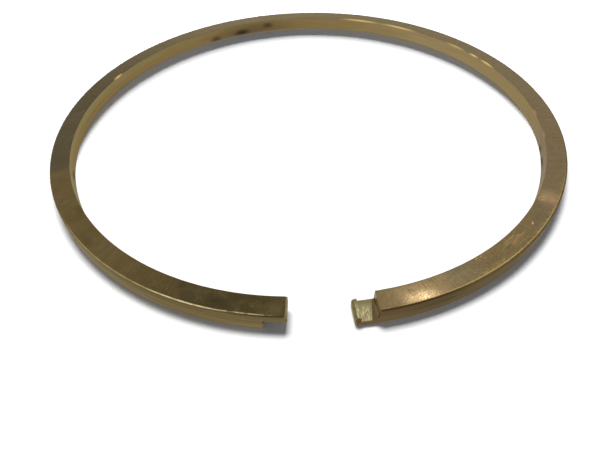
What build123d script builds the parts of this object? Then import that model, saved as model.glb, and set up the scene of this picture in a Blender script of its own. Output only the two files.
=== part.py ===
from build123d import *
from math import degrees, pi, sin
import os

# A split seal ring of bronze, lying flat and sprung open, with a hooked step joint at its gap.
# Millimetres, +Z up. The gap faces -Y, the finger end is on the -X side and the tongue end on +X.
# The origin is on the lower side face, in the middle of the free ring's outline.

bore_diameter = 200.0      # the bore that the closed ring's outer face fills
radial_wall = 7.3
axial_width = 6.5
edge_break = 0.45          # flat broken along each long edge and round both tips
tip_corner_radius = 0.6    # the upright corners of both tips

# The joint, measured along the middle of the wall.
free_tip_gap = 18.5        # open space between the two tips at rest
closed_overlap = 5.7       # how far the tips pass each other when the ring is in its bore

finger_length = 7.0        # upper finger, from its recess wall to its tip
finger_thickness = 2.5
finger_lip_length = 1.6
tongue_length = 7.0        # lower tongue, from its recess wall to its tip
tongue_thickness = 2.2
tongue_lip_length = 1.7
hook_height = 1.35         # both lips: the finger's points down and the tongue's up
hook_radius = 0.7          # the lips are rounded where they first meet the other end
recess_root_radius = 0.25
flare_at_bore = 0.4        # the foot of the tongue's wall is rounded this much at the inner face
flare_at_rim = 2.0         # and this much at the outer face

half_spans = 8             # tangent arcs that draw each half of the free line
trim = 2.0                 # the bar is bent this much too long, and its tips are cut back
overrun = 4.0              # each cutter passes the faces that it cuts by this

middle_radius = (bore_diameter - radial_wall) / 2
half_length = pi * middle_radius + closed_overlap / 2
# The share of its curvature that the ring lacks when free, so that it presses evenly when closed.
spring_set = (free_tip_gap + closed_overlap) / (3 * pi * middle_radius)


def free_heading(distance):
    """Turn of the free line, in radians, at a distance from its back."""
    closed_turn = distance / middle_radius
    return closed_turn - spring_set * (closed_turn + sin(closed_turn))


def half_arcs(offset):
    """The right half of the free line, from its back to past its tip, moved outwards."""
    arcs = []
    start, along = Vector(0, offset), Vector(1, 0)
    span = (half_length + trim) / half_spans
    for count in range(half_spans):
        bend = free_heading((count + 1) * span) - free_heading(count * span)
        arc = JernArc(start, along, span / bend + offset, -degrees(bend))
        arcs.append(arc)
        start, along = arc @ 1, arc % 1
    return arcs


def bent_bar():
    """The bar before its joint is cut: a plain rectangle, bent to the free form."""
    outer, inner = half_arcs(radial_wall / 2), half_arcs(-radial_wall / 2)
    back = Line(inner[0] @ 0, outer[0] @ 0)
    end = Line(outer[-1] @ 1, inner[-1] @ 1)
    right = extrude(make_face([back, *outer, end, *inner]), axial_width)
    return (right + mirror(right, Plane.YZ)).clean()


def joint_plane(length, side):
    """The plane that one end is milled in: its X runs to the tip and its Y up.

    It stands square to the ring halfway along the finger or tongue. side is -1 at the finger.
    """
    last = half_arcs(0)[-1]
    place = 1 - (trim + length / 2) / last.length
    point, along = last @ place, last % place
    point, along = Vector(side * point.X, point.Y), Vector(side * along.X, along.Y)
    return Plane(point, x_dir=along, z_dir=along.cross(Vector(0, 0, 1)))


def across(length, side, profile):
    """A profile drawn in the joint plane, cut right through the wall."""
    return extrude(joint_plane(length, side) * profile, radial_wall, both=True)


def square_tip(length, side):
    """What is cut off past the tip."""
    corner = Pos(length / 2, -overrun)
    waste = corner * Rectangle(trim + overrun, axial_width + 2 * overrun, align=(Align.MIN, Align.MIN))
    return across(length, side, waste)


def recess(length, lip_length, floor, side, upwards):
    """What the cutter takes away beside a finger or a tongue, so that a hooked lip is left.

    upwards is 1 where the recess is open at the top, and -1 where it is open below.
    """
    wall, tip = -length / 2, length / 2
    lip, lip_top = tip - lip_length, floor + upwards * hook_height
    clear = floor + upwards * (axial_width + overrun)
    profile = make_face(Polyline((wall, floor), (lip, floor), (lip, lip_top), (tip, lip_top),
                                 (tip, lip_top - upwards * hook_radius),
                                 (tip + overrun, lip_top - upwards * hook_radius),
                                 (tip + overrun, clear), (wall, clear), close=True))
    for corner, radius in (((wall, floor), recess_root_radius), ((tip, lip_top), hook_radius * 0.98)):
        profile = fillet(profile.vertices().sort_by_distance(corner)[0], radius)
    return across(length, side, profile)


def break_edges(bar):
    """Round the tips' upright corners, then break the edges of both side faces."""
    bar = fillet(bar.edges().filter_by(Axis.Z).sort_by(Axis.Y)[:4], tip_corner_radius)
    side_faces = bar.faces().sort_by(Axis.Z)
    return chamfer(side_faces[0].edges() + side_faces[-1].edges(), edge_break)


def root_flare():
    """The metal left at the foot of the tongue's wall, little at the bore and more at the rim."""
    sunk, reach = recess_root_radius, radial_wall / 2 + edge_break
    sections = []
    for offset, radius in ((reach, flare_at_bore), (-reach, flare_at_rim)):
        foot, head = (radius, tongue_thickness), (0, tongue_thickness + radius)
        below = tongue_thickness - sunk
        outline = [RadiusArc(foot, head, -radius), Line(head, (-sunk, head[1])),
                   Line((-sunk, head[1]), (-sunk, below)), Line((-sunk, below), (radius, below)),
                   Line((radius, below), foot)]
        section = Pos(-tongue_length / 2, 0) * make_face(outline)
        sections.append(joint_plane(tongue_length, 1).offset(offset) * section)
    return loft(sections)


def seal_ring():
    bar = bent_bar()
    bar -= square_tip(finger_length, -1)
    bar -= square_tip(tongue_length, 1)
    bar = break_edges(bar)
    bar -= recess(finger_length, finger_lip_length, axial_width - finger_thickness, -1, -1)
    bar -= recess(tongue_length, tongue_lip_length, tongue_thickness, 1, 1) - root_flare()
    return bar


ring = seal_ring()
ring = Pos(0, -ring.bounding_box().center().Y, 0) * ring

os.makedirs("parts", exist_ok=True)
export_step(ring, "parts/seal_ring.step")
print("spring set", round(spring_set, 5), "volume", round(ring.volume), "box", ring.bounding_box().size)
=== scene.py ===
# %% [markdown]
# # A split seal ring of bronze
# A seal ring like this one sits in the groove of a shaft or a piston and presses against the bore
# round it. It is cut through once, and the two ends hook into each other. Here it lies loose on a
# white table, so it has sprung open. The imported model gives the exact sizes; this script makes the
# ring again with softened edges and gives it the look of used bronze.

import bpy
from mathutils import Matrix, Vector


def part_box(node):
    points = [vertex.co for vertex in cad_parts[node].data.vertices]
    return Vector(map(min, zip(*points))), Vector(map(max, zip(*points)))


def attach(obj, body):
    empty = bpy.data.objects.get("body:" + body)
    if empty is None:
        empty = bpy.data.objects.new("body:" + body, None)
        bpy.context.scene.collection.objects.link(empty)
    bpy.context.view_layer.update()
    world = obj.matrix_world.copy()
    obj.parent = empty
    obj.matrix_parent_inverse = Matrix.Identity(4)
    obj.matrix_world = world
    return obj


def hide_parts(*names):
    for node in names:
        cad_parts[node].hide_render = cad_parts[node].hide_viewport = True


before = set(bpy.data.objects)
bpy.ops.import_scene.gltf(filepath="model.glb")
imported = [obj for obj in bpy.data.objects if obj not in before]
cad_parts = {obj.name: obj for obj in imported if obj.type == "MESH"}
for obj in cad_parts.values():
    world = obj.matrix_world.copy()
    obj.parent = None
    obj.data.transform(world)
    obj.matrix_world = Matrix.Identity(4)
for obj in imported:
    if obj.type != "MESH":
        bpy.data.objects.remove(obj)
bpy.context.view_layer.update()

# %% Blender's own modules
import bpy
import math
from mathutils import Vector, noise

MM = 0.001
print("Blender", bpy.app.version_string)

# %% [markdown]
# ## The camera
# The photograph was taken from close by, a little above the ring, so the near side of the ring looks
# much larger than the far side. A wide lens at a short distance gives that. The place and the turn
# of the camera come from matching the outline of the ring and of its gap.

# %% Set up the camera
camera_place = Vector((-5.806, -166.261, 114.784)) * MM
camera_turn = (42.302, 1.338, -2.1)
lens_millimetres = 26.446

camera_data = bpy.data.cameras.new("camera")
camera_data.lens = lens_millimetres
camera_data.sensor_width = 36.0
camera_data.clip_start = 0.01
camera = bpy.data.objects.new("camera", camera_data)
camera.location = camera_place
camera.rotation_euler = [math.radians(angle) for angle in camera_turn]
bpy.context.scene.collection.objects.link(camera)
bpy.context.scene.camera = camera
print("camera", round(camera_place.length / MM), "mm from the ring's middle")

# %% [markdown]
# ## The bar, before it is bent
# A ring like this is turned as a full circle, split, and its ends are milled. It is easiest to draw
# as a straight bar, because then every edge of the joint is level or upright. The outline below is
# the bar seen from outside: s runs along it from the finger's tip to the tongue's tip, and z is up.

# %% Sizes of the bar, in millimetres
bore_diameter, wall, width = 200.0, 7.3, 6.5
tip_gap, overlap = 18.5, 5.7
middle_radius = (bore_diameter - wall) / 2
half_length = math.pi * middle_radius + overlap / 2
spring_set = (tip_gap + overlap) / (3 * math.pi * middle_radius)

finger_length, finger_lip, finger_floor = 7.0, 1.6, width - 2.5
tongue_length, tongue_lip, tongue_floor = 7.0, 1.7, 2.2
hook = 1.35
finger_wall = finger_length - half_length
tongue_wall = half_length - tongue_length
print("bar", round(2 * half_length, 1), "mm long, spring set", round(spring_set, 4))

# %% Corners of the outline: s, z, rounding, and how far the edge after it is broken (outer, inner)
flare_bore, flare_rim = 0.4, 2.0
broken, tip_break, cut_break = (0.45, 0.38), (0.38, 0.55), (0.12, 0.12)
FLARE = "flare"
corners = [
    (-half_length, finger_floor - hook, 0.7, (0.3, 0.3)),
    (finger_lip - half_length, finger_floor - hook, 0.12, cut_break),
    (finger_lip - half_length, finger_floor, 0.15, cut_break),
    (finger_wall, finger_floor, 0.25, cut_break),
    (finger_wall, 0.0, 0.1, broken),
    (half_length, 0.0, 0.65, tip_break),
    (half_length, tongue_floor + hook, 1.05, (0.35, 0.35)),
    (half_length - tongue_lip, tongue_floor + hook, 0.12, cut_break),
    (half_length - tongue_lip, tongue_floor, 0.15, cut_break),
    (tongue_wall, tongue_floor, FLARE, cut_break),
    (tongue_wall, width, 0.1, broken),
    (-half_length, width, 0.65, tip_break),
]
print(len(corners), "corners")

# %% [markdown]
# ## One outline of the bar
# The bar is a stack of such outlines, one behind the other across the wall. The outermost ones draw
# in a little, and that rounds every edge that the cutter or the lapping plate left. Where an outline
# stands across the wall also decides the flare at the tongue's root. The long edges are broken by
# hand on the real ring, so here the amount wanders a little on its way round.

# %% Walk round the outline
step = 0.8                # between the rows of points along the bar
arc_steps = 5             # in each rounded corner
corner_gap = 0.1          # extra points keep this far from a corner
joint_gap = 1.2           # and the rows of points this far from the joint's walls
shortest_edge = 0.25      # the straight rest of an edge, below which it gets no extra points
largest_flare = max(flare_bore, flare_rim)

def wavy(s, side, z):
    """How much more or less than usual a long edge is broken at s."""
    place = Vector((s * 0.3, side * 9.0, z * 4.0))
    return 1.0 + 0.24 * noise.noise(place) + 0.16 * noise.noise(place * 4.0)

def outline(across, side, shrink, lean):
    """Points (s, t, z) of the outline at one place across the wall.

    shrink draws it in and lean moves it inwards, both as shares of how far each edge is broken.
    """
    points = []
    for index, (s, z, rounding, after) in enumerate(corners):
        before, following = corners[index - 1], corners[(index + 1) % len(corners)]
        came = Vector((s - before[0], z - before[1]))
        goes = Vector((following[0] - s, following[1] - z))
        reach = goes.length
        came.normalize()
        goes.normalize()
        inward_came, inward_goes = Vector((-came.y, came.x)), Vector((-goes.y, goes.x))
        break_came, break_goes = before[3][side], after[side]
        room = largest_flare if rounding == FLARE else rounding
        if rounding == FLARE:
            rounding = flare_bore + (flare_rim - flare_bore) * (across / wall + 0.5)
        drawn = shrink * (inward_came * break_came + inward_goes * break_goes)
        for part in range(arc_steps + 1):
            angle = 0.5 * math.pi * part / arc_steps
            place = Vector((s, z)) + drawn
            place -= came * rounding * (1 - math.sin(angle))
            place += goes * rounding * (1 - math.cos(angle))
            points.append((place.x, across - lean * max(break_came, break_goes), place.y))
        following_room = largest_flare if following[2] == FLARE else following[2]
        stops = [room + break_came + corner_gap,
                 reach - following_room - following[3][side] - corner_gap]
        if reach < room + following_room + max(before[3]) + max(following[3]) + shortest_edge:
            stops = []
        if reach > half_length:
            start, end = finger_wall + joint_gap, tongue_wall - joint_gap
            cells = round((end - start) / step)
            rows = [start + (end - start) * cell / cells for cell in range(cells + 1)]
            stops = sorted(stops + [abs(row - s) for row in rows])
        for stop in stops:
            amount = break_goes * (wavy(s + goes.x * stop, side, z) if reach > half_length else 1.0)
            place = Vector((s, z)) + goes * stop + inward_goes * shrink * amount
            points.append((place.x, across - lean * amount, place.y))
    return points

plain = outline(0.0, 0, 0.0, 0.0)
print("one outline has", len(plain), "points")

# %% [markdown]
# ## The stack of outlines becomes a mesh
# Neighbouring outlines are joined by quads. The two outermost ones are closed by strips between the
# lower and the upper edge, so that there is a row of points every step along the bar: it has to be
# bent later, and a face without points along its length would stay straight.

# %% Join the outlines
import bmesh

bevel_steps = 4
clearance = 0.04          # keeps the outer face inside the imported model's box
outer_slope = 1.6         # the outer edges are broken more on the side faces than on the rim
OUTER, INNER = 0, 1
LAPPED, TURNED, MILLED = 0, 1, 2

quarter = [0.5 * math.pi * part / bevel_steps for part in range(bevel_steps + 1)]
outer_layers = [(wall / 2 - clearance, OUTER, 1 - math.cos(a), outer_slope * (1 - math.sin(a)))
                for a in quarter]
inner_layers = [(-wall / 2, INNER, 1 - math.cos(a), math.sin(a) - 1) for a in quarter]
middle_layers = [(across, OUTER, 0.0, 0.0) for across in (-2.2, 0.0, 2.2)]
layers = inner_layers[::-1] + middle_layers + outer_layers

bar = bmesh.new()
finish_layer = bar.faces.layers.int.new("finish")
rings = [[bar.verts.new(point) for point in outline(*layer)] for layer in layers]

def on_side_face(index):
    """Whether the outline's step from this point lies along the bar's top or bottom."""
    here, there = plain[index], plain[(index + 1) % len(plain)]
    return here[2] == there[2] and here[2] in (0.0, width)

for inner_ring, outer_ring in zip(rings, rings[1:]):
    for index in range(len(plain)):
        nxt = (index + 1) % len(plain)
        face = bar.faces.new((inner_ring[index], outer_ring[index], outer_ring[nxt], inner_ring[nxt]))
        face[finish_layer] = LAPPED if on_side_face(index) else MILLED

def in_a_row(point):
    """Whether a point of the outline belongs to the rows between the two joint walls."""
    return finger_wall + joint_gap - corner_gap < point[0] < tongue_wall - joint_gap + corner_gap

lower = [i for i, point in enumerate(plain) if in_a_row(point) and point[2] == 0.0]
upper = [i for i, point in enumerate(plain) if in_a_row(point) and point[2] == width][::-1]
for ring, turned_over in ((rings[0], False), (rings[-1], True)):
    strips = [(lower[k], lower[k + 1], upper[k + 1], upper[k]) for k in range(len(lower) - 1)]
    strips.append(tuple(range(lower[-1], upper[-1] + 1)))
    strips.append(tuple(range(upper[0], len(plain))) + tuple(range(lower[0] + 1)))
    for strip in strips:
        corners_of_face = [ring[i] for i in (reversed(strip) if turned_over else strip)]
        bar.faces.new(corners_of_face)[finish_layer] = TURNED
print("bar", len(bar.verts), "points,", len(bar.faces), "faces")

# %% Cut the two ends across, so that they can bend too. No cut meets a corner of the joint.
cuts_per_end = 9
finger_cuts = [finger_wall + 0.85 - 0.93 * count for count in range(cuts_per_end)]
tongue_cuts = [tongue_wall - 0.83 + 0.91 * count for count in range(cuts_per_end)]

def cut_across(place):
    """Cut one end of the bar at s, from side to side."""
    past_rows = min(-finger_wall, tongue_wall) - joint_gap - corner_gap
    near = [v for v in bar.verts if abs(v.co.x) > past_rows and v.co.x * place > 0]
    chosen = set(near)
    edges = [e for e in bar.edges if e.verts[0] in chosen and e.verts[1] in chosen]
    faces = [f for f in bar.faces if all(v in chosen for v in f.verts)]
    bmesh.ops.bisect_plane(bar, geom=near + edges + faces, dist=1e-4,
                           plane_co=(place, 0, 0), plane_no=(1, 0, 0))

for pair in zip(finger_cuts, tongue_cuts):
    for place in pair:
        if abs(place) < half_length - 2 * corner_gap:
            cut_across(place)
print("bar", len(bar.verts), "points after cutting its ends")

# %% [markdown]
# ## The cutter's own square
# Each end is milled in one setting, square to the ring in the middle of the finger or the tongue.
# So the wall, the lip and the tip are parallel to each other once the bar is bent. In the straight
# bar they therefore lean a little: less length at the outside, where bending stretches it.

# %% Lean the ends
bar_place = bar.verts.layers.float_vector.new("bar_place")
fade_length = 14.0        # the lean fades out over this length of the bar
fade_start = 1.0          # behind the joint's wall
for vertex in bar.verts:
    s, t, z = vertex.co
    vertex[bar_place] = (s * MM, t * MM, z * MM)
    length = finger_length if s < 0 else tongue_length
    middle = math.copysign(half_length - length / 2, s)
    behind = abs(middle) - length / 2 - fade_start - abs(s)
    fade = min(1.0, max(0.0, 1.0 - behind / fade_length))
    fade = fade * fade * (3 - 2 * fade)
    vertex.co.x = s + fade * (s - middle) * (1 / (1 + t / middle_radius) - 1)
    vertex.co *= MM

bar_mesh = bpy.data.meshes.new("straight_bar")
bar.to_mesh(bar_mesh)
bar.free()
bar_mesh.polygons.foreach_set("use_smooth", [True] * len(bar_mesh.polygons))
print("bar mesh", len(bar_mesh.vertices), "points,", len(bar_mesh.polygons), "faces")

# %% [markdown]
# ## Colours and helpers for the materials
# Seal rings of this kind are bronze, an alloy of copper and tin. Clean bronze is golden, but this one
# has been in use: a brown and olive film lies on it, and only where it rubs or was milled does the
# metal show bright. A finish is built like a painting: a ground colour, then coats, each with its own
# amount at every point. One function adds a node, and the others lay down whole patterns.

# %% Colours and nodes
def colour(text):
    """An sRGB hex colour as the linear values that Blender works with."""
    channels = [int(text[i:i + 2], 16) / 255 for i in (1, 3, 5)]
    linear = [c / 12.92 if c <= 0.04045 else ((c + 0.055) / 1.055) ** 2.4 for c in channels]
    return (*linear, 1.0)

def first(sockets, name=None):
    """The first socket in use, or the first in use with this name."""
    return next(s for s in sockets if s.enabled and name in (None, s.name))

def node(tree, kind, given=None, **settings):
    """A node with its settings, and with a value, a socket or another node for its inputs."""
    made = tree.nodes.new(kind)
    for name, value in settings.items():
        setattr(made, name, value)
    for name, value in (given or {}).items():
        socket = made.inputs[name] if isinstance(name, int) else first(made.inputs, name)
        if isinstance(value, bpy.types.Node):
            value = first(value.outputs)
        if isinstance(value, bpy.types.NodeSocket):
            tree.links.new(value, socket)
        else:
            socket.default_value = value
    return made

print("clean bronze", [round(c, 3) for c in colour("#c9b07a")])

# %% Patterns, all in millimetres
def places(tree):
    """The point in the ring's own frame, and its place on the straight bar, in millimetres."""
    frame_place = node(tree, "ShaderNodeTexCoord").outputs["Object"]
    bar = node(tree, "ShaderNodeAttribute", attribute_name="bar_place").outputs["Vector"]
    return [node(tree, "ShaderNodeVectorMath", {0: place, "Scale": 1 / MM}, operation="SCALE")
            for place in (frame_place, bar)]

def grain(tree, place, size, low, high, turn=0.0, detail=2.0):
    """Noise whose cells have a size, turned by some degrees, as an amount from 0 to 1."""
    laid = node(tree, "ShaderNodeMapping", {"Vector": place, "Rotation": (0, 0, math.radians(turn)),
                                            "Scale": size}, vector_type="TEXTURE")
    cells = node(tree, "ShaderNodeTexNoise", {"Vector": laid, "Scale": 1.0, "Detail": detail})
    return node(tree, "ShaderNodeMapRange", {"Value": cells, "From Min": low, "From Max": high},
                interpolation_type="SMOOTHSTEP")

def mark(tree, place, centre, reach, turn=0.0, soft=0.6, most=1.0):
    """An oval mark round a centre: its full amount in the middle, nothing past its reach."""
    laid = node(tree, "ShaderNodeMapping", {"Vector": place, "Location": centre, "Scale": reach,
                                            "Rotation": (0, 0, math.radians(turn))},
                vector_type="TEXTURE")
    away = node(tree, "ShaderNodeVectorMath", {0: laid}, operation="LENGTH").outputs["Value"]
    return node(tree, "ShaderNodeMapRange", {"Value": away, "From Min": 1.0 - soft, "From Max": 1.0,
                                             "To Min": most, "To Max": 0.0},
                interpolation_type="SMOOTHSTEP")

def amount(tree, *parts):
    """One amount from several that are multiplied.

    A part is an amount, or a value with the start and the end of a smooth ramp. It may name what the
    ramp gives at its end and at its start, if that isn't 1 and 0.
    """
    result = None
    for part in parts:
        if isinstance(part, tuple):
            value, start, end, *levels = part
            high, low = levels + [1.0, 0.0][len(levels):]
            part = node(tree, "ShaderNodeMapRange", {"Value": value, "From Min": start, "From Max": end,
                                                     "To Min": low, "To Max": high},
                        interpolation_type="SMOOTHSTEP")
        result = part if result is None else node(tree, "ShaderNodeMath", {0: result, 1: part},
                                                  operation="MULTIPLY")
    return result

def coated(tree, ground, coats):
    """Lay coats of colour over a ground colour, each where its amount says."""
    result = colour(ground)
    for share, shade in coats:
        result = node(tree, "ShaderNodeMix", {"Factor": share, "A": result, "B": colour(shade)},
                      data_type="RGBA", clamp_factor=True)
    return result

def bronze(name):
    """An empty bronze material: its tree, its shader, and both kinds of place."""
    material = bpy.data.materials.new(name)
    material.use_nodes = True
    shader = material.node_tree.nodes["Principled BSDF"]
    shader.inputs["Metallic"].default_value = 1.0
    shader.inputs["Specular Tint"].default_value = colour("#e6dfcd")
    return material, material.node_tree, shader, *places(material.node_tree)

def surface(tree, shader, base, roughness, height, depth):
    """Join the colour, the roughness and a height in millimetres to the shader."""
    bump = node(tree, "ShaderNodeBump", {"Height": height, "Strength": 1.0, "Distance": depth * MM})
    for name, value in (("Base Color", base), ("Roughness", roughness), ("Normal", bump)):
        tree.links.new(first(value.outputs), shader.inputs[name])

# %% [markdown]
# ## Lapped bronze
# The two side faces seal, so after turning they are rubbed flat on a plate with fine abrasive. Each
# stroke leaves hairline scratches: most run across the bar, some run slantwise. The real scratches
# are a few hundredths of a millimetre apart; they are drawn about ten times coarser, or they would
# vanish at this distance, and fainter at the back, where such coarse ones would look like hatching.
# The film on top is brown to the left and turns dark olive towards the finger.

# %% Lapped bronze: strokes and film
lapped, tree, shader, place, bar_at = bronze("lapped_bronze")
s_at, t_at = node(tree, "ShaderNodeSeparateXYZ", {0: bar_at}).outputs[:2]
towards_back = node(tree, "ShaderNodeSeparateXYZ", {0: place}).outputs["Y"]
strokes = grain(tree, bar_at, (0.40, 7.0, 4.0), 0.36, 0.68, turn=8, detail=1.5)
cross_strokes = grain(tree, place, (2.4, 0.30, 4.0), 0.38, 0.70, turn=47, detail=2.0)
specks = grain(tree, place, (0.50, 0.42, 2.0), 0.58, 0.74, turn=40, detail=1.0)
mottle = grain(tree, place, (0.9, 0.7, 2.0), 0.34, 0.66, turn=15, detail=3.0)
clouds = grain(tree, place, (13.0, 9.0, 8.0), 0.36, 0.66, turn=30, detail=3.0)
patches = grain(tree, place, (4.2, 3.0, 4.0), 0.42, 0.64, turn=-25, detail=3.0)
finger_end = amount(tree, (s_at, -246, -284))
film = [
    (amount(tree, (clouds, -0.4, 1.4, 0.6)), "#8f7d62"),
    (amount(tree, (s_at, 110, 180), (clouds, -0.2, 0.9, 0.8, 0.4)), "#8b7456"),
    (amount(tree, (s_at, -20, -150), (s_at, -198, -189), (clouds, -1.2, 0.6, 0.95, 0.65)), "#564e3d"),
    (amount(tree, (s_at, -188, -198), (clouds, -0.6, 0.9, 0.75, 1.0)), "#65542d"),
    (amount(tree, (s_at, 190, 262), (clouds, -0.2, 0.9, 0.9, 0.2)), "#8a744d"),
    (amount(tree, (s_at, 190, 262), (patches, 0.9, 0.0, 0.35)), "#756a4c"),
    (amount(tree, finger_end, (patches, 0.9, -0.3, 1.0, 0.62)), "#4a4229"),
    (amount(tree, strokes, (clouds, -0.8, 1.2, 0.30, 0.12), (s_at, 60, 240, 0.55, 1.0),
            (towards_back, 30, 90, 0.4, 1.0)), "#463923"),
    (amount(tree, cross_strokes, (s_at, 120, 240, 0.24)), "#5c4a2e"),
    (amount(tree, mottle, (s_at, -60, 60, 0.28, 0.16)), "#5f4f3a"),
    (amount(tree, specks, (patches, -0.3, 1.0, 0.30)), "#a58d5e"),
]
print("film has", len(film), "coats")

# %% [markdown]
# Marks of use, each at its own place along the bar: dark patches near the finger, a bright rubbed spot
# beside the tongue where the film is gone, two coppery spots and a nick on the right, smudges on the
# left, and a witness line across the bar on the left where it once lay against something. The bright
# spot is partly worn metal and partly a painted highlight of the shine there. The film ends at the
# broken outer edge. That edge shows a fine bright line near the finger, and golden specks near the
# tongue: partly worn metal, partly painted highlights where the edge catches the light. On the far
# side the inner edge glints in a few short places. Plain soft light gives no glints there, so they
# are laid on as painted highlights in pale coats, here and on the bore face.

# %% Lapped bronze: marks of use
coppery = grain(tree, place, (0.9, 0.7, 2.0), 0.42, 0.60, turn=20)
uneven = grain(tree, bar_at, (2.6, 2.0, 4.0), 0.34, 0.60)
fine_scratches = grain(tree, place, (4.5, 0.24, 4.0), 0.50, 0.62, turn=40, detail=1.0)
rubbed_and_shine = grain(tree, place, (0.60, 0.32, 2.0), 0.30, 0.62, turn=52, detail=2.0)
marks = [
    (mark(tree, bar_at, (-284.5, 0.4, 6.5), (7.0, 3.4, 2.0), 0, 0.9, 0.40), "#39331f"),
    (mark(tree, bar_at, (-299.0, -2.1, 6.5), (5.0, 2.6, 2.0), 0, 0.9, 0.35), "#3b3421"),
    (mark(tree, bar_at, (-274.0, -2.6, 6.5), (7.0, 2.6, 2.0), 0, 0.9, 0.35), "#3d3824"),
    (mark(tree, bar_at, (-303.0, 0.4, 6.5), (6.0, 5.0, 2.0), 0, 0.9, 0.4), "#6f633f"),
    (mark(tree, bar_at, (-233.5, 1.5, 6.5), (5.0, 2.4, 2.0), 0, 0.9, 0.40), "#4a3d24"),
    (mark(tree, bar_at, (-218.0, -2.7, 6.5), (4.0, 2.0, 2.0), 0, 0.9, 0.35), "#4a3d24"),
    (mark(tree, bar_at, (-193.2, 0.0, 6.5), (2.4, 9.0, 2.0), 4, 1.0, 0.4), "#6b5836"),
    (amount(tree, mark(tree, bar_at, (-193.2, 0.0, 6.5), (0.50, 9.0, 2.0), 4, 0.8),
            (uneven, 0.0, 1.0, 0.8)), "#80592c"),
    (mark(tree, bar_at, (220.5, -0.4, 6.5), (6.0, 6.0, 2.0), 0, 1.0, 0.75), "#ab9168"),
    (amount(tree, mark(tree, bar_at, (222.0, -2.1, 6.5), (2.6, 2.0, 2.0), 0, 0.8), coppery), "#c3946e"),
    (amount(tree, mark(tree, bar_at, (221.5, 1.5, 6.5), (2.6, 1.8, 2.0), 0, 0.8), coppery), "#bd8a62"),
    (mark(tree, bar_at, (236.0, -0.3, 6.5), (0.9, 0.4, 2.0), 20, 0.6, 0.9), "#d2b988"),
    (amount(tree, mark(tree, bar_at, (246.0, -1.0, 6.5), (11.0, 3.6, 2.0), 0, 0.9, 0.75),
            fine_scratches), "#b79c64"),
    (mark(tree, bar_at, (247.5, -0.3, 6.5), (2.0, 0.8, 2.0), 10, 1.0, 0.7), "#b08446"),
    (mark(tree, bar_at, (271.0, -3.0, 6.5), (6.0, 2.4, 2.0), 0, 0.9, 0.65), "#666048"),
    # Golden specks along the outer edge near the tongue: partly wear, partly painted highlights.
    (amount(tree, mark(tree, bar_at, (261.0, -2.8, 6.5), (5.0, 1.6, 2.0), 0, 0.8), specks), "#d2b468"),
    (amount(tree, mark(tree, bar_at, (258.0, 2.6, 6.5), (12.0, 1.7, 2.0), 0, 0.8),
            (specks, -0.2, 0.7)), "#b99c58"),
    # Painted highlight: the bright spot beside the tongue is partly worn metal, partly painted shine.
    (amount(tree, mark(tree, bar_at, (285.6, 0.8, 6.5), (12.0, 6.4, 2.0), -25, 1.0, 0.56),
            (t_at, -4.2, 2.6, 1.0, 0.2), (rubbed_and_shine, 0.0, 1.0, 1.0, 0.35)), "#c4a272"),
    (amount(tree, mark(tree, bar_at, (285.6, 2.2, 6.5), (6.8, 3.4, 2.0), -12, 1.0),
            (rubbed_and_shine, -0.2, 0.9)), "#f8d59e"),
]
on_edge = node(tree, "ShaderNodeMath", {0: t_at, 1: amount(tree, (s_at, -60, 60, 0.26))})
speckled_edge = amount(tree, specks, (t_at, 1.2, 3.0), (t_at, 3.4, 3.0))
marks += [
    (amount(tree, (on_edge, 3.18, 3.38)), "#786a4c"),
    (amount(tree, (on_edge, 3.18, 3.38), (s_at, -236, -262)), "#68593c"),
    (amount(tree, (on_edge, 3.18, 3.38), (s_at, 0, 200)), "#645235"),
    # The outer edge's bright lines and specks: partly worn metal, partly painted highlights.
    (amount(tree, mark(tree, bar_at, (240.0, 2.9, 6.5), (48.0, 9.0, 2.0), 0, 0.7), speckled_edge),
     "#c9ae62"),
    (amount(tree, mark(tree, bar_at, (-256.0, 3.16, 6.4), (46.0, 0.26, 0.6), 0, 0.4),
            (uneven, -0.5, 1.0, 1.0, 0.5)), "#ae9962"),
    (amount(tree, mark(tree, bar_at, (-276.0, 3.12, 6.4), (17.0, 0.30, 0.6), 0, 0.7),
            (uneven, -0.4, 0.8, 1.0, 0.4)), "#f0dfaa"),
    (mark(tree, bar_at, (0.9 - half_length, 1.0, 6.5), (0.24, 4.0, 0.5), 0, 0.7, 0.5), "#39321e"),
    (amount(tree, mark(tree, bar_at, (-292.5, 2.98, 6.5), (11.0, 0.28, 0.6), 0, 0.6),
            (uneven, -0.2, 0.9)), "#cbbb86"),
    (mark(tree, bar_at, (-298.0, 3.26, 6.42), (16.0, 0.24, 0.5), 0, 0.6, 0.85), "#3a301b"),
    (amount(tree, mark(tree, bar_at, (248.0, 2.86, 6.5), (60.0, 0.26, 0.6), 0, 0.7),
            (uneven, -0.4, 1.0, 1.0, 0.35)), "#bda468"),
    # Painted shade: a dark line on the outer edge's bevel beside the tongue.
    (mark(tree, bar_at, (288.0, 3.36, 6.40), (22.0, 0.26, 0.4), 0, 0.5, 0.9), "#3f2e19"),
]
glints = ((-118.5, 4.6, 1.0), (38.0, 15.0, 1.0), (61.0, 15.0, 1.0), (98.0, 9.0, 0.65),
          (110.5, 4.6, 1.0), (120.0, 6.5, 1.0), (165.5, 3.4, 0.3), (182.0, 3.4, 0.25))
for s, reach, most in glints:
    marks.append((mark(tree, bar_at, (s, -3.50, 6.25), (reach, 0.36, 0.50), 0, 0.9, most), "#f8d486"))
surface(tree, shader, coated(tree, "#85795e", film + marks),
        amount(tree, (amount(tree, strokes, patches), 0.0, 1.0, 0.40, 0.27)),
        amount(tree, strokes, cross_strokes, (towards_back, 30, 90, 0.4, 1.0)), 0.004)
print("lapped bronze has", len(tree.nodes), "nodes")
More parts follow.
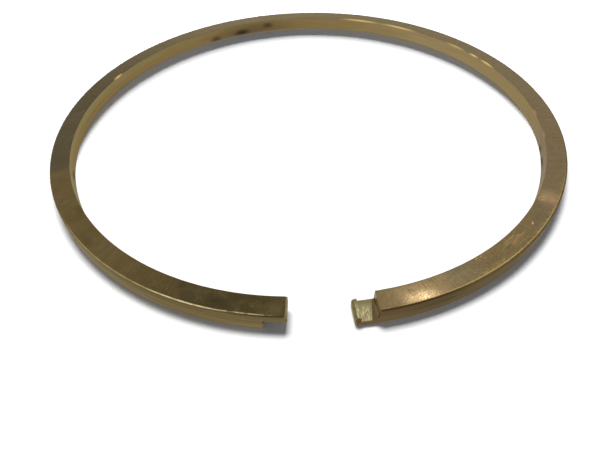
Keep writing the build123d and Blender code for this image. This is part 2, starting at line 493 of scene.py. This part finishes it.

# %% [markdown]
# ## Turned bronze
# The rim and the bore face come from the lathe, so their marks run lengthwise. The rim then slides in
# the bore and keeps a satin, golden brown. Painted light makes it lighter towards its foot near the
# finger. Painted shade, as of the shadow in front reflected in it, makes it darker on the right and
# in a line under its upper edge beside the tongue. The inner face touches nothing: it stays smoother
# and more golden. A painted reflection makes its upper part lighter on the left. Painted reflections
# of dark things in front of the ring darken it low down at the back, and the dark spots at its foot
# on both sides are painted shade. Its pattern follows the bar, not the frame, so the lines bend with
# the ring. The lathe's own feed marks, about 0.05 mm apart, are finer than a pixel, so they are
# drawn about six times coarser.

# %% Turned bronze
turned, tree, shader, _, bar_at = bronze("turned_bronze")
s_at, t_at, z_at = node(tree, "ShaderNodeSeparateXYZ", {0: bar_at}).outputs
rim = amount(tree, (t_at, -0.5, 0.5))
bore = amount(tree, (t_at, 0.5, -0.5))
lines = grain(tree, bar_at, (22.0, 50.0, 0.30), 0.36, 0.66, detail=1.5)
long_lines = grain(tree, bar_at, (60.0, 50.0, 0.85), 0.36, 0.66, detail=1.0)
clouds = grain(tree, bar_at, (16.0, 50.0, 5.0), 0.36, 0.66, detail=3.0)
uneven = grain(tree, bar_at, (2.2, 50.0, 4.0), 0.34, 0.60)
coats = [
    (amount(tree, rim, (s_at, -236, -262)), "#726243"),
    # Painted light: the rim grows lighter towards its foot near the finger.
    (amount(tree, rim, (s_at, -236, -262), (z_at, 4.2, 1.0, 0.75)), "#8c7b50"),
    # Painted shade: the rim darker on the right, as if it reflected the shadow in front.
    (amount(tree, rim, (s_at, 0, 220)), "#635136"),
    (mark(tree, bar_at, (256.0, 3.6, 2.6), (44.0, 2.0, 9.0), 0, 0.6, 0.75), "#4a3d2b"),
    (amount(tree, rim, (clouds, -0.2, 1.3, 0.35)), "#7d6944"),
    (amount(tree, rim, lines, (s_at, -150, 150, 0.26, 0.26)), "#54462d"),
    (amount(tree, rim, long_lines, (s_at, 150, -150, 0.34, 0.12)), "#a09068"),
    (bore, "#8f794c"),
    # Painted reflection: the bore's upper part lighter on the left.
    (amount(tree, bore, (z_at, 2.4, 4.4), (s_at, -40, -150, 0.85, 0.15)), "#97885e"),
    (amount(tree, bore, (s_at, 0, 90)), "#a28e64"),
    (amount(tree, bore, (s_at, 150, 195)), "#96856e"),
    (mark(tree, bar_at, (half_length - 0.9, 3.6, 3.0), (0.8, 2.0, 1.6), 0, 0.2, 0.85), "#5c4a2b"),
    # Painted reflection: a dark patch low on the bore at the back, from dark things in front of the
    # ring.
    (mark(tree, bar_at, (-29.0, -3.6, 2.2), (36.0, 3.0, 6.0), 0, 0.9, 0.75), "#66553a"),
    (amount(tree, bore, lines, (clouds, -1.0, 2.0, 0.2)), "#6b5c36"),
    # Painted shade: a dark line under the rim's upper edge beside the tongue.
    (mark(tree, bar_at, (288.0, 3.6, 6.0), (22.0, 2.0, 0.3), 0, 0.5, 0.6), "#3f2e19"),
]
# Painted reflections: three dark spots low on the bore at the back.
for s, z, reach, most in ((-34.5, 1.8, 7.0, 0.9), (-51.0, 1.2, 5.0, 0.7), (-18.5, 3.6, 4.6, 0.65)):
    coats.append((mark(tree, bar_at, (s, -3.6, z), (reach, 3.0, 2.4), 0, 0.9, most), "#372c26"))
for s, reach, most in glints:
    coats.append((mark(tree, bar_at, (s, -3.6, 6.1), (reach, 2.0, 0.6), 0, 0.9, 0.8 * most), "#f8d486"))
# Painted shade: dark spots at the bore's foot on both sides.
for s, z, reach, most in ((-190.5, 1.8, 4.0, 0.9), (185.0, 1.0, 4.0, 0.7), (194.0, 1.2, 5.0, 0.9)):
    coats.append((mark(tree, bar_at, (s, -3.6, z), (reach, 3.0, 2.0), 0, 0.8, most), "#37302c"))
witness = mark(tree, bar_at, (-193.4, -3.6, 3.2), (0.8, 3.0, 9.0), 0, 0.8, 0.7)
coats.append((amount(tree, uneven, witness), "#6a5030"))
surface(tree, shader, coated(tree, "#7a6c4e", coats), amount(tree, (lines, 0.0, 1.0, 0.58, 0.46)),
        lines, 0.002)
print("turned bronze has", len(tree.nodes), "nodes")

# %% [markdown]
# ## Milled bronze
# The finger and the tongue are cut with a small end mill, which leaves fine arcs across the bar. The
# tongue's floor rubs on the finger's lip, so it is bright and streaky, partly as worn metal and partly
# as a painted highlight of light from behind. The tips keep a dull olive skin. Painted shade darkens
# the foot of the finger's wall and of the tongue's lip, the shadow of the tongue's wall on its floor
# is painted, and painted light brightens that wall. The streaks are drawn about five times coarser
# than the cutter's real marks.

# %% Milled bronze
milled, tree, shader, place, bar_at = bronze("milled_bronze")
s_at, t_at, z_at = node(tree, "ShaderNodeSeparateXYZ", {0: bar_at}).outputs
facing = node(tree, "ShaderNodeNewGeometry").outputs["Normal"]
upward = node(tree, "ShaderNodeSeparateXYZ", {0: facing}).outputs["Z"]
streaks = grain(tree, bar_at, (0.20, 1.5, 3.0), 0.38, 0.62, turn=-12, detail=2.0)
patches = grain(tree, place, (1.6, 1.3, 1.5), 0.38, 0.64, detail=2.0)
lip_foot = half_length - tongue_lip
past_root = node(tree, "ShaderNodeMath", {0: t_at, 1: -0.22, 2: s_at}, operation="MULTIPLY_ADD")
on_floor = amount(tree, (upward, 0.92, 0.99), (z_at, 4.6, 4.0),
                  (past_root, tongue_wall + 1.15, tongue_wall + 1.45))
worn_and_shine_floor = amount(tree, on_floor, (t_at, -3.0, 0.6))
coats = [
    (amount(tree, (patches, -0.2, 1.4, 0.5)), "#6d5f3b"),
    # The floor's bright streaks: partly worn metal, partly a painted highlight of light from behind.
    (amount(tree, on_floor, (t_at, 0.4, -3.4, 0.8)), "#8c8260"),
    (amount(tree, worn_and_shine_floor, (streaks, -1.0, 0.9, 0.9, 0.4)), "#a99e74"),
    (amount(tree, worn_and_shine_floor, (streaks, 0.25, 0.95, 0.85)), "#dccfa0"),
    (amount(tree, worn_and_shine_floor, (streaks, 0.35, 0.0, 0.5)), "#7b7048"),
    # Painted shadow: the tongue's wall casts it across the floor beside its root.
    (amount(tree, (s_at, 0, 1), (past_root, tongue_wall + 1.45, tongue_wall + 1.15)), "#6d5c3e"),
    # Painted light: the tongue's wall is lightened.
    (amount(tree, mark(tree, bar_at, (tongue_wall, 2.6, 5.0), (1.6, 7.6, 4.6), 0, 0.6),
            (upward, 0.9, 0.4), (t_at, 3.5, 2.9)), "#ccb48a"),
    (mark(tree, bar_at, (tongue_wall, -2.0, 5.6), (0.8, 3.2, 3.0), 0, 0.8, 0.8), "#958868"),
    # Painted shade: the foot of the tongue's lip and of the finger's wall are darkened.
    (mark(tree, bar_at, (lip_foot - 0.05, 0.8, 2.9), (0.26, 3.4, 2.0), 0, 0.6, 0.7), "#5f5436"),
    (mark(tree, bar_at, (finger_wall, 2.0, 1.9), (0.7, 3.6, 3.4), 0, 0.5, 0.9), "#43381f"),
    (mark(tree, bar_at, (0.62 - half_length, 1.0, 6.5), (0.24, 4.0, 0.5), 0, 0.6, 0.5), "#4b4229"),
    (mark(tree, bar_at, (0.30 - half_length, 0.0, 6.2), (0.3, 9.0, 0.5), 0, 0.8, 0.7), "#a2966a"),
    (mark(tree, bar_at, (0.2 - half_length, 3.2, 5.0), (1.0, 1.8, 2.0), 0, 0.8, 0.7), "#5f5233"),
    (mark(tree, bar_at, (half_length - 0.9, 3.6, 2.9), (0.9, 0.7, 1.5), 0, 0.3, 0.8), "#5c4a2b"),
]
surface(tree, shader, coated(tree, "#80744c", coats), amount(tree, (streaks, 0.0, 1.0, 0.48, 0.34)),
        streaks, 0.004)
print("milled bronze has", len(tree.nodes), "nodes")
finishes = [lapped, turned, milled]

# %% [markdown]
# ## Bending the bar
# A good ring presses equally hard on the bore all the way round. For that it has to be a little too
# straight when free, most at the back and not at all at the tips: the heading of its middle line
# at s is s/R - k(s/R + sin(s/R)). That is a rule, so Geometry Nodes do the bending: they add up
# small steps along that heading, and put each point of the bar beside its own step.

# %% The bending tree: inputs and the rule
line_steps = 4800
tree = bpy.data.node_groups.new("spring_open", "GeometryNodeTree")
tree.interface.new_socket("Bar", in_out="INPUT", socket_type="NodeSocketGeometry")
for label in ("Middle radius", "Slack", "Half length", "Back"):
    tree.interface.new_socket(label, in_out="INPUT", socket_type="NodeSocketFloat")
tree.interface.new_socket("Ring", in_out="OUTPUT", socket_type="NodeSocketGeometry")
given = node(tree, "NodeGroupInput").outputs

def heading(distance):
    """Nodes for the turn of the middle line at a distance from the back: its cosine and its sine."""
    turn = node(tree, "ShaderNodeMath", {0: distance, 1: given["Middle radius"]}, operation="DIVIDE")
    sine = node(tree, "ShaderNodeMath", {0: turn}, operation="SINE")
    lacking = node(tree, "ShaderNodeMath", {0: node(tree, "ShaderNodeMath", {0: turn, 1: sine}),
                                            1: given["Slack"]}, operation="MULTIPLY")
    free = node(tree, "ShaderNodeMath", {0: turn, 1: lacking}, operation="SUBTRACT")
    return [node(tree, "ShaderNodeMath", {0: free}, operation=name) for name in ("COSINE", "SINE")]

print("the middle line is added up in", line_steps, "steps")

# %% The bending tree: the middle line, as a row of points
whole = node(tree, "ShaderNodeMath", {0: given["Half length"], 1: 2.0}, operation="MULTIPLY")
one_step = node(tree, "ShaderNodeMath", {0: whole, 1: float(line_steps)}, operation="DIVIDE")
number = node(tree, "GeometryNodeInputIndex")
half_way = node(tree, "ShaderNodeMath", {0: number, 1: 0.5})
travelled = node(tree, "ShaderNodeMath", {0: half_way, 1: one_step}, operation="MULTIPLY")
cosine, sine = heading(node(tree, "ShaderNodeMath", {0: travelled, 1: given["Half length"]},
                            operation="SUBTRACT"))
direction = node(tree, "ShaderNodeCombineXYZ", {
    "X": cosine, "Y": node(tree, "ShaderNodeMath", {0: sine, 1: -1.0}, operation="MULTIPLY")})
step_taken = node(tree, "ShaderNodeVectorMath", {0: direction, "Scale": one_step}, operation="SCALE")
summed = node(tree, "GeometryNodeAccumulateField", {"Value": step_taken}, data_type="FLOAT_VECTOR")
row = node(tree, "GeometryNodeMeshLine", {"Count": line_steps + 1}, mode="OFFSET")
middle_line = node(tree, "GeometryNodeSetPosition", {"Geometry": row,
                                                     "Position": first(summed.outputs, "Trailing")})
line_place = node(tree, "GeometryNodeInputPosition")

def line_at(which):
    """Place of one numbered point of the middle line."""
    return node(tree, "GeometryNodeSampleIndex", {"Geometry": middle_line, "Value": line_place,
                                                  "Index": which},
                data_type="FLOAT_VECTOR", clamp=True)

print("each step is", round(2 * half_length / line_steps, 3), "mm")

# %% The bending tree: each point of the bar beside its own step
along, across_wall, up = node(tree, "ShaderNodeSeparateXYZ", {0: line_place}).outputs
from_tip = node(tree, "ShaderNodeMath", {0: along, 1: given["Half length"]})
steps_along = node(tree, "ShaderNodeMath", {0: from_tip, 1: one_step}, operation="DIVIDE")
whole_steps = node(tree, "ShaderNodeMath", {0: steps_along}, operation="FLOOR")
behind = line_at(whole_steps)
ahead = line_at(node(tree, "ShaderNodeMath", {0: whole_steps, 1: 1.0}))
part = node(tree, "ShaderNodeMath", {0: steps_along}, operation="FRACT")
on_line = node(tree, "ShaderNodeMix", {"Factor": part, "A": behind, "B": ahead}, data_type="VECTOR",
               clamp_factor=False)
cosine, sine = heading(along)
outwards = node(tree, "ShaderNodeCombineXYZ", {"X": sine, "Y": cosine})
beside = node(tree, "ShaderNodeVectorMath", {0: outwards, "Scale": across_wall}, operation="SCALE")
raised = node(tree, "ShaderNodeCombineXYZ", {"Y": given["Back"], "Z": up})
bent_place = node(tree, "ShaderNodeVectorMath", {0: on_line, 1: line_at(line_steps // 2)},
                  operation="SUBTRACT")
for part_of_place in (beside, raised):
    bent_place = node(tree, "ShaderNodeVectorMath", {0: bent_place, 1: part_of_place})
bent = node(tree, "GeometryNodeSetPosition", {"Geometry": given["Bar"], "Position": bent_place})
print("bending tree has", len(tree.nodes), "nodes so far")

# %% The bending tree: finishes
shape = node(tree, "GeometryNodeRealizeInstances", {"Geometry": bent})
for number_of_finish, material in enumerate(finishes):
    finish_of = node(tree, "GeometryNodeInputNamedAttribute", {"Name": "finish"}, data_type="INT")
    chosen = node(tree, "FunctionNodeCompare", {"A": finish_of, "B": number_of_finish},
                  data_type="INT", operation="EQUAL")
    shape = node(tree, "GeometryNodeSetMaterial", {"Geometry": shape, "Selection": chosen,
                                                   "Material": material})
node(tree, "NodeGroupOutput", {"Ring": shape})
print("bending tree has", len(tree.nodes), "nodes")

# %% Bend it, and keep the plain mesh
back_of_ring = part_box("seal_ring")[1].y - wall / 2 * MM
straight = bpy.data.objects.new("straight_bar", bar_mesh)
bpy.context.scene.collection.objects.link(straight)
bending = straight.modifiers.new("spring open", "NODES")
bending.node_group = tree
sizes = {"Middle radius": middle_radius * MM, "Slack": spring_set, "Half length": half_length * MM,
         "Back": back_of_ring}
for item in tree.interface.items_tree:
    if item.name in sizes:
        bending[item.identifier] = sizes[item.name]
evening = straight.modifiers.new("even shading", "WEIGHTED_NORMAL")
evening.keep_sharp = True
bpy.context.view_layer.update()
graph = bpy.context.evaluated_depsgraph_get()
ring_mesh = bpy.data.meshes.new_from_object(straight.evaluated_get(graph),
                                            preserve_all_data_layers=True, depsgraph=graph)
bpy.data.objects.remove(straight)
seal_ring = bpy.data.objects.new("sprung_seal_ring", ring_mesh)
bpy.context.scene.collection.objects.link(seal_ring)
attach(seal_ring, "root")
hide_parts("seal_ring")
low = [min(v.co[axis] for v in ring_mesh.vertices) / MM for axis in range(3)]
high = [max(v.co[axis] for v in ring_mesh.vertices) / MM for axis in range(3)]
print("bent ring", [round(value, 2) for value in low + high], "attributes",
      [a.name for a in ring_mesh.attributes])

# %% [markdown]
# ## The table
# The ring lies on white paper, laid in a near sheet and two far ones, so that each can have its own
# lamp. From the photograph's side their seam can't be seen: on the ring's right it runs under the
# metal. Seen from the left or the right, the thin shadow outside the ring has a small step there.
# Near the ring it is plain matt paper, and that is where the shadow lies. Well away from the ring the
# paper gives its own white, so it joins the background. The metal shows the paper as evenly white,
# except for a strip under the ring beside its gap, which is as dark in the metal as in the shadow.

# %% Paper
matt_until, white_from = 0.13, 0.26            # metres from the middle of the ring
inside_strip, outside_strip = (0.092, 0.095), (0.1025, 0.1005)
front_of_strip = (-0.085, -0.090)              # metres towards the back
paper = bpy.data.materials.new("white_paper")
paper.use_nodes = True
tree = paper.node_tree
tree.nodes.clear()
path = node(tree, "ShaderNodeLightPath").outputs
on_paper = node(tree, "ShaderNodeTexCoord").outputs["Object"]
from_middle = node(tree, "ShaderNodeVectorMath", {0: on_paper}, operation="LENGTH").outputs["Value"]
own_white = amount(tree, (from_middle, matt_until, white_from, 1.25, 0.035))
towards_back = node(tree, "ShaderNodeSeparateXYZ", {0: on_paper}).outputs["Y"]
under_ring = amount(tree, (from_middle, *inside_strip), (from_middle, *outside_strip),
                    (towards_back, *front_of_strip))
beside_ring = node(tree, "ShaderNodeMath", {0: 1.0, 1: under_ring}, operation="SUBTRACT")
matt = node(tree, "ShaderNodeBsdfDiffuse", {"Color": colour("#f4f5f6")})
glow = node(tree, "ShaderNodeEmission", {"Color": colour("#dee8fc"), "Strength": own_white})
both = node(tree, "ShaderNodeAddShader", {0: matt, 1: glow})
in_metal = node(tree, "ShaderNodeEmission", {"Strength": 0.9})
white_in_metal = amount(tree, path["Is Glossy Ray"], beside_ring)
seen = node(tree, "ShaderNodeMixShader", {0: white_in_metal, 1: both, 2: in_metal})
node(tree, "ShaderNodeOutputMaterial", {"Surface": seen})
print("paper has", len(tree.nodes), "nodes")

# %% Lay the three sheets
sheet_reach, seam_slope = 0.8, 0.26
seam_centre = (0, -0.008, 0)
seam_in_ring = (0.095, -0.032, 0)              # here it goes under the ring's right side
seam_past_ring = (0.102, 0.012, 0)             # and here it comes out again
left_end = (-sheet_reach, seam_centre[1] - seam_slope * sheet_reach, 0)
right_end = (sheet_reach, seam_slope * sheet_reach, 0)
back_left, back_centre, back_right = [(x, sheet_reach, 0) for x in (-sheet_reach, 0, sheet_reach)]
near_left, near_right = (-sheet_reach, -sheet_reach, 0), (sheet_reach, -sheet_reach, 0)
below_ring = -0.02 * MM                        # the paper clears the ring's lower face by this

def sheet(name, corners_of_sheet):
    """A sheet of paper, alone in a collection that a lamp can light."""
    mesh = bpy.data.meshes.new(name)
    mesh.from_pydata(corners_of_sheet, [], [range(len(corners_of_sheet))])
    mesh.materials.append(paper)
    made = bpy.data.objects.new(name, mesh)
    made.location.z = below_ring
    lit = bpy.data.collections.new("lit_" + name)
    lit.objects.link(made)
    bpy.context.scene.collection.children.link(lit)
    return lit

near_sheet = sheet("near_sheet", [near_left, near_right, right_end, seam_past_ring, seam_in_ring,
                                  seam_centre, left_end])
far_left_sheet = sheet("far_left_sheet", [left_end, seam_centre, back_centre, back_left])
far_right_sheet = sheet("far_right_sheet", [seam_centre, seam_in_ring, seam_past_ring, right_end,
                                            back_right, back_centre])
print("paper", 2 * sheet_reach, "m wide")

# %% [markdown]
# ## The light
# Three large soft lamps light the paper, one for each sheet. In the photograph the shadow is equally
# deep in front of the near side and inside the far side, although the far side is seen at a much
# lower angle, and it lies inside both the left and the right of the ring. So the near sheet has a
# high lamp, and the two far sheets have low lamps far behind them, one to the left and one to the
# right. They would blow out in the metal, which looks dull and dark in the photograph, so the metal
# doesn't see them. It sees the white room, and one small soft lamp behind to the right that makes
# the rubbed spot beside the tongue shine. The room gives matt paper only a little light, so that the
# shadow stays deep.

# %% Lamps
def lamp(name, place, aim, size, power, lit=None):
    """A soft lamp with a width and a height. It lights everything, or only one collection."""
    data = bpy.data.lights.new(name, "AREA")
    data.shape = "RECTANGLE"
    data.size, data.size_y = size
    data.energy = power
    made = bpy.data.objects.new(name, data)
    made.location = place
    made.rotation_euler = (Vector(aim) - Vector(place)).to_track_quat("-Z", "Y").to_euler()
    made.visible_camera = False
    made.visible_glossy = lit is None
    made.visible_diffuse = lit is not None
    made.light_linking.receiver_collection = lit
    bpy.context.scene.collection.objects.link(made)
    return made

lamp("near_lamp", (-0.050, 0.170, 0.66), (0, -0.09, 0), (0.34, 0.23), 6.2, near_sheet)
lamp("far_left_lamp", (-0.22, 1.10, 0.49), (0, 0, 0), (0.24, 0.54), 46.0, far_left_sheet)
lamp("far_right_lamp", (0.11, 1.10, 0.49), (0, 0, 0), (0.24, 0.54), 46.0, far_right_sheet)
lamp("glare_lamp", (0.172, 0.189, 0.440), (0.03, -0.095, 0), (0.055, 0.055), 0.040)
print(len(bpy.data.lights), "lamps")

# %% Room
on_matt_paper, reflected_white = 0.135, 0.85
world = bpy.data.worlds.new("white_room")
bpy.context.scene.world = world
world.use_nodes = True
tree = world.node_tree
tree.nodes.clear()
path = node(tree, "ShaderNodeLightPath").outputs
reflected = node(tree, "ShaderNodeMath", {0: path["Is Glossy Ray"], 1: path["Is Transmission Ray"]},
                 operation="MAXIMUM")
strength = node(tree, "ShaderNodeMapRange", {"Value": reflected, "To Min": on_matt_paper,
                                             "To Max": reflected_white})
strength = node(tree, "ShaderNodeMath", {0: strength, 1: path["Is Camera Ray"]}, operation="MAXIMUM")
room = node(tree, "ShaderNodeBackground", {"Color": (1, 1, 1, 1), "Strength": strength})
node(tree, "ShaderNodeOutputWorld", {"Surface": room})
bpy.context.scene.view_settings.view_transform = "Standard"
print("the metal sees a room of", reflected_white, "of white")
